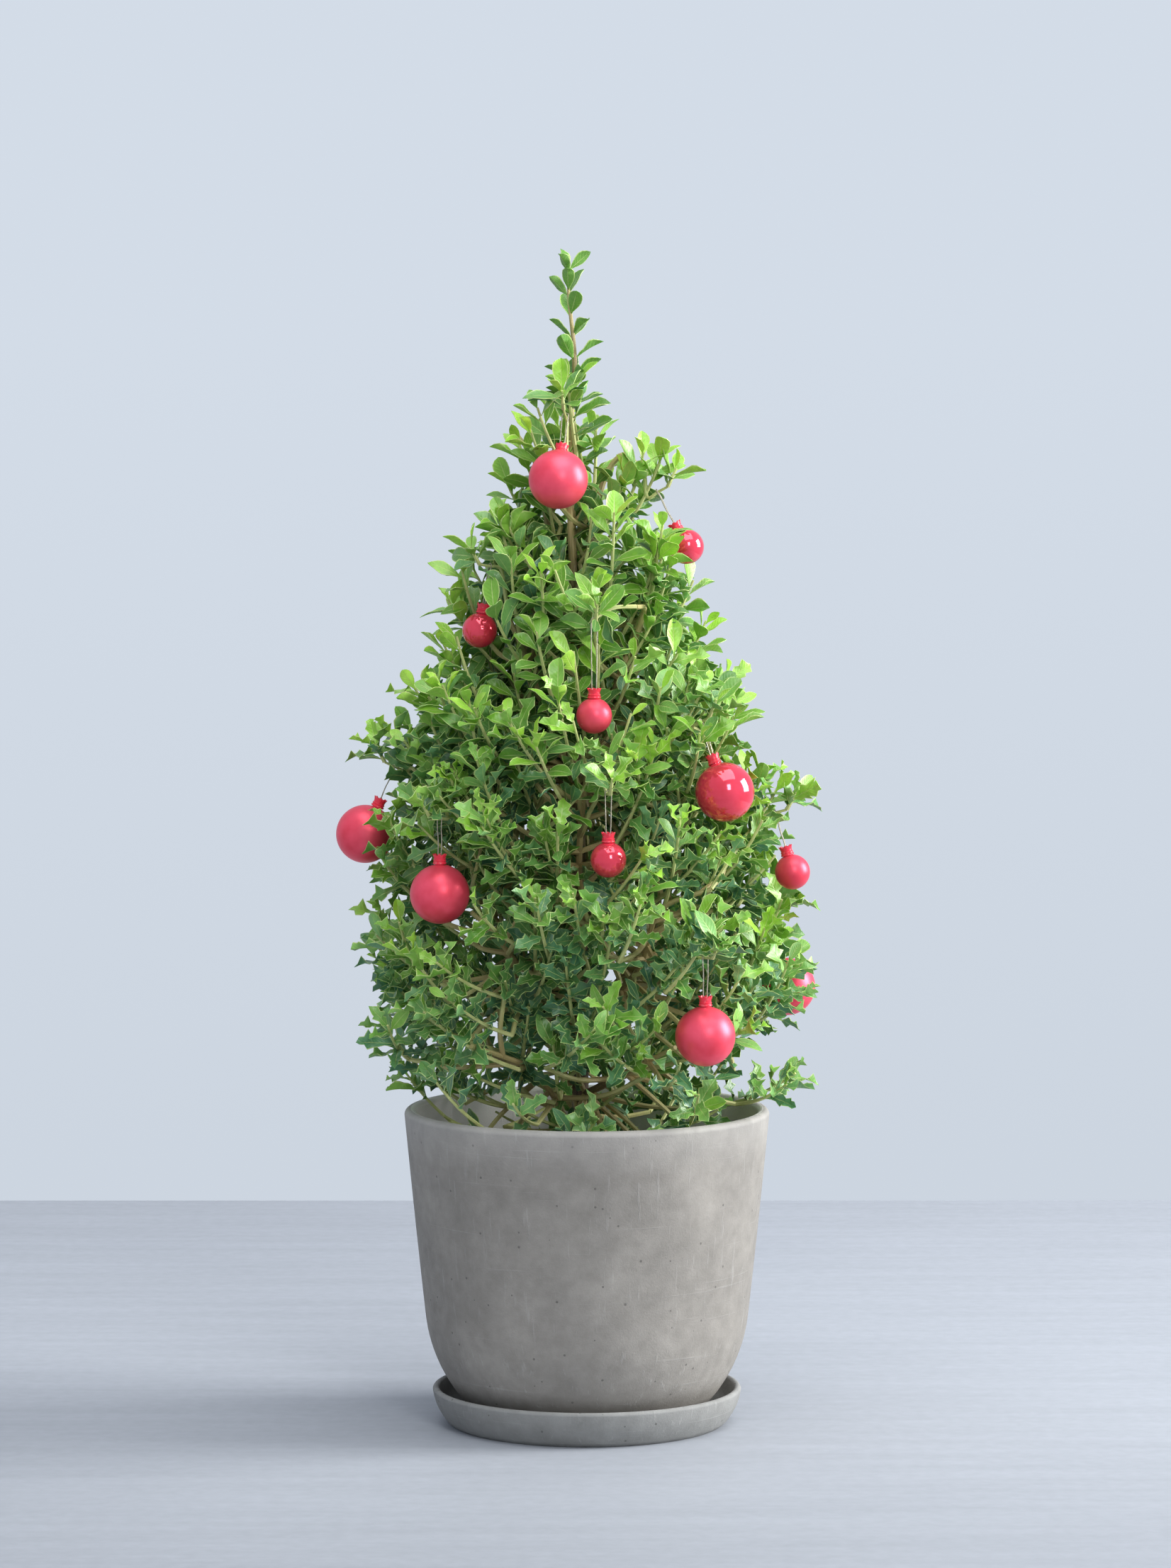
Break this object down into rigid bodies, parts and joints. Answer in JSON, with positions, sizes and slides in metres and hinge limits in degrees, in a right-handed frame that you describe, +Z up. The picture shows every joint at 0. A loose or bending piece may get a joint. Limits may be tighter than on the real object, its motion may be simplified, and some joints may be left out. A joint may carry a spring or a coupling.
{
  "type": "artificial tabletop tree",
  "caption": "Narrow conical artificial holly in a round fibre-cement pot and saucer, hung with red baubles on wire loops that swing.",
  "frame": {"origin": "on the table, at the centre of the saucer's underside", "axes": "+Z up along the pot's axis, -Y towards the side that most baubles face, +X to the right of that side"},
  "size_m": [0.3403, 0.3092, 0.841],
  "materials": {
    "fibre_cement": "matte",
    "saucer_cement": "matte",
    "cast_cement": "matte",
    "soil": "matte",
    "steel": "satin",
    "bark": "matte",
    "leaf": "satin",
    "satin_red": "satin",
    "gloss_red": "gloss",
    "cap_red": "satin",
    "hanger_wire": "satin"
  },
  "bodies": {
    "saucer": {"saucer": "saucer_cement"},
    "pot": {"pot": "fibre_cement"},
    "tree": {"weight_plug": "cast_cement", "soil_cover": "soil", "trunk_core": "steel", "trunk": "bark", "leader": "leaf", "branch_01": "leaf", "ground_shoot_1": "leaf", "branch_02": "leaf", "ground_shoot_2": "leaf", "branch_03": "leaf", "branch_04": "leaf", "branch_05": "leaf", "branch_06": "leaf", "branch_07": "leaf", "branch_08": "leaf", "branch_09": "leaf", "branch_10": "leaf", "branch_11": "leaf", "branch_12": "leaf", "branch_13": "leaf", "branch_14": "leaf", "branch_15": "leaf", "branch_16": "leaf", "branch_17": "leaf", "branch_18": "leaf"},
    "hanger_01": {"bauble_01_hanger": "hanger_wire"},
    "bauble_01": {"bauble_01_ball": "satin_red", "bauble_01_cap": "cap_red"},
    "hanger_02": {"bauble_02_hanger": "hanger_wire"},
    "bauble_02": {"bauble_02_ball": "gloss_red", "bauble_02_cap": "cap_red"},
    "hanger_03": {"bauble_03_hanger": "hanger_wire"},
    "bauble_03": {"bauble_03_ball": "gloss_red", "bauble_03_cap": "cap_red"},
    "hanger_04": {"bauble_04_hanger": "hanger_wire"},
    "bauble_04": {"bauble_04_ball": "satin_red", "bauble_04_cap": "cap_red"},
    "hanger_05": {"bauble_05_hanger": "hanger_wire"},
    "bauble_05": {"bauble_05_ball": "gloss_red", "bauble_05_cap": "cap_red"},
    "hanger_06": {"bauble_06_hanger": "hanger_wire"},
    "bauble_06": {"bauble_06_ball": "satin_red", "bauble_06_cap": "cap_red"},
    "hanger_07": {"bauble_07_hanger": "hanger_wire"},
    "bauble_07": {"bauble_07_ball": "gloss_red", "bauble_07_cap": "cap_red"},
    "hanger_08": {"bauble_08_hanger": "hanger_wire"},
    "bauble_08": {"bauble_08_ball": "satin_red", "bauble_08_cap": "cap_red"},
    "hanger_09": {"bauble_09_hanger": "hanger_wire"},
    "bauble_09": {"bauble_09_ball": "satin_red", "bauble_09_cap": "cap_red"},
    "hanger_10": {"bauble_10_hanger": "hanger_wire"},
    "bauble_10": {"bauble_10_ball": "satin_red", "bauble_10_cap": "cap_red"},
    "hanger_11": {"bauble_11_hanger": "hanger_wire"},
    "bauble_11": {"bauble_11_ball": "satin_red", "bauble_11_cap": "cap_red"}
  },
  "joints": [
    {"name": "pot_lift", "type": "slide", "parent": "saucer", "child": "pot", "axis": [0, 0, 1], "range_m": [0, 0.05]},
    {"name": "tree_lift", "type": "slide", "parent": "pot", "child": "tree", "axis": [0, 0, 1], "range_m": [0, 0.215]},
    {"name": "hanger_01_swing", "type": "hinge", "parent": "tree", "child": "hanger_01", "pos_m": [-0.01513, -0.02293, 0.71507], "axis": [-0.1473, -0.8352, 0.5299], "range_deg": [-8, 8]},
    {"name": "bauble_01_tilt", "type": "hinge", "parent": "hanger_01", "child": "bauble_01", "pos_m": [-0.01752, -0.0365, 0.69302], "axis": [0.9848, -0.1736, 0], "range_deg": [-10, 0]},
    {"name": "hanger_02_swing", "type": "hinge", "parent": "tree", "child": "hanger_02", "pos_m": [0.04979, -0.00717, 0.66146], "axis": [0.8732, -0.1305, 0.4695], "range_deg": [-8, 8]},
    {"name": "bauble_02_tilt", "type": "hinge", "parent": "hanger_02", "child": "bauble_02", "pos_m": [0.06186, -0.00898, 0.63851], "axis": [0.1478, 0.989, 0], "range_deg": [-10, 0]},
    {"name": "hanger_03_swing", "type": "hinge", "parent": "tree", "child": "hanger_03", "pos_m": [-0.06789, -0.027, 0.60977], "axis": [-0.8889, -0.424, 0.1736], "range_deg": [-8, 8]},
    {"name": "bauble_03_tilt", "type": "hinge", "parent": "hanger_03", "child": "bauble_03", "pos_m": [-0.07227, -0.02909, 0.58219], "axis": [0.4305, -0.9026, 0], "range_deg": [-10, 0]},
    {"name": "hanger_04_swing", "type": "hinge", "parent": "tree", "child": "hanger_04", "pos_m": [0.00492, -0.09516, 0.57419], "axis": [0.1305, -0.9914, 0], "range_deg": [-8, 8]},
    {"name": "bauble_04_tilt", "type": "hinge", "parent": "hanger_04", "child": "bauble_04", "pos_m": [0.00492, -0.09516, 0.52619], "axis": [0.9914, 0.1305, 0], "range_deg": [-10, 10]},
    {"name": "hanger_05_swing", "type": "hinge", "parent": "tree", "child": "hanger_05", "pos_m": [0.0788, -0.071, 0.50309], "axis": [0.7049, -0.5811, 0.4067], "range_deg": [-8, 8]},
    {"name": "bauble_05_tilt", "type": "hinge", "parent": "hanger_05", "child": "bauble_05", "pos_m": [0.08696, -0.07772, 0.47934], "axis": [0.6361, 0.7716, 0], "range_deg": [-10, 0]},
    {"name": "hanger_06_swing", "type": "hinge", "parent": "tree", "child": "hanger_06", "pos_m": [-0.13567, -0.00028, 0.4674], "axis": [-0.9135, 0.008, 0.4067], "range_deg": [-8, 8]},
    {"name": "bauble_06_tilt", "type": "hinge", "parent": "hanger_06", "child": "bauble_06", "pos_m": [-0.14625, -0.00019, 0.44364], "axis": [-0.0087, -1, 0], "range_deg": [-10, 0]},
    {"name": "hanger_07_swing", "type": "hinge", "parent": "tree", "child": "hanger_07", "pos_m": [0.0146, -0.12033, 0.45678], "axis": [0.165, -0.9863, 0], "range_deg": [-8, 8]},
    {"name": "bauble_07_tilt", "type": "hinge", "parent": "hanger_07", "child": "bauble_07", "pos_m": [0.0146, -0.12033, 0.42879], "axis": [0.9863, 0.165, 0], "range_deg": [-10, 10]},
    {"name": "hanger_08_swing", "type": "hinge", "parent": "tree", "child": "hanger_08", "pos_m": [0.13285, -0.01863, 0.43617], "axis": [0.9541, -0.1171, 0.2756], "range_deg": [-8, 8]},
    {"name": "bauble_08_tilt", "type": "hinge", "parent": "hanger_08", "child": "bauble_08", "pos_m": [0.13997, -0.01951, 0.41117], "axis": [0.1219, 0.9925, 0], "range_deg": [-10, 0]},
    {"name": "hanger_09_swing", "type": "hinge", "parent": "tree", "child": "hanger_09", "pos_m": [-0.10163, -0.0905, 0.4374], "axis": [-0.7373, -0.6756, 0], "range_deg": [-8, 8]},
    {"name": "bauble_09_tilt", "type": "hinge", "parent": "hanger_09", "child": "bauble_09", "pos_m": [-0.10163, -0.0905, 0.4114], "axis": [0.6756, -0.7373, 0], "range_deg": [-10, 10]},
    {"name": "hanger_10_swing", "type": "hinge", "parent": "tree", "child": "hanger_10", "pos_m": [0.1303, 0.02787, 0.35842], "axis": [0.9473, 0.21, 0.2419], "range_deg": [-8, 8]},
    {"name": "bauble_10_tilt", "type": "hinge", "parent": "hanger_10", "child": "bauble_10", "pos_m": [0.13644, 0.02923, 0.33319], "axis": [-0.2164, 0.9763, 0], "range_deg": [-10, 0]},
    {"name": "hanger_11_swing", "type": "hinge", "parent": "tree", "child": "hanger_11", "pos_m": [0.081, -0.12798, 0.34502], "axis": [0.5592, -0.829, 0], "range_deg": [-8, 8]},
    {"name": "bauble_11_tilt", "type": "hinge", "parent": "hanger_11", "child": "bauble_11", "pos_m": [0.081, -0.12798, 0.31702], "axis": [0.829, 0.5592, 0], "range_deg": [-10, 10]}
  ]
}
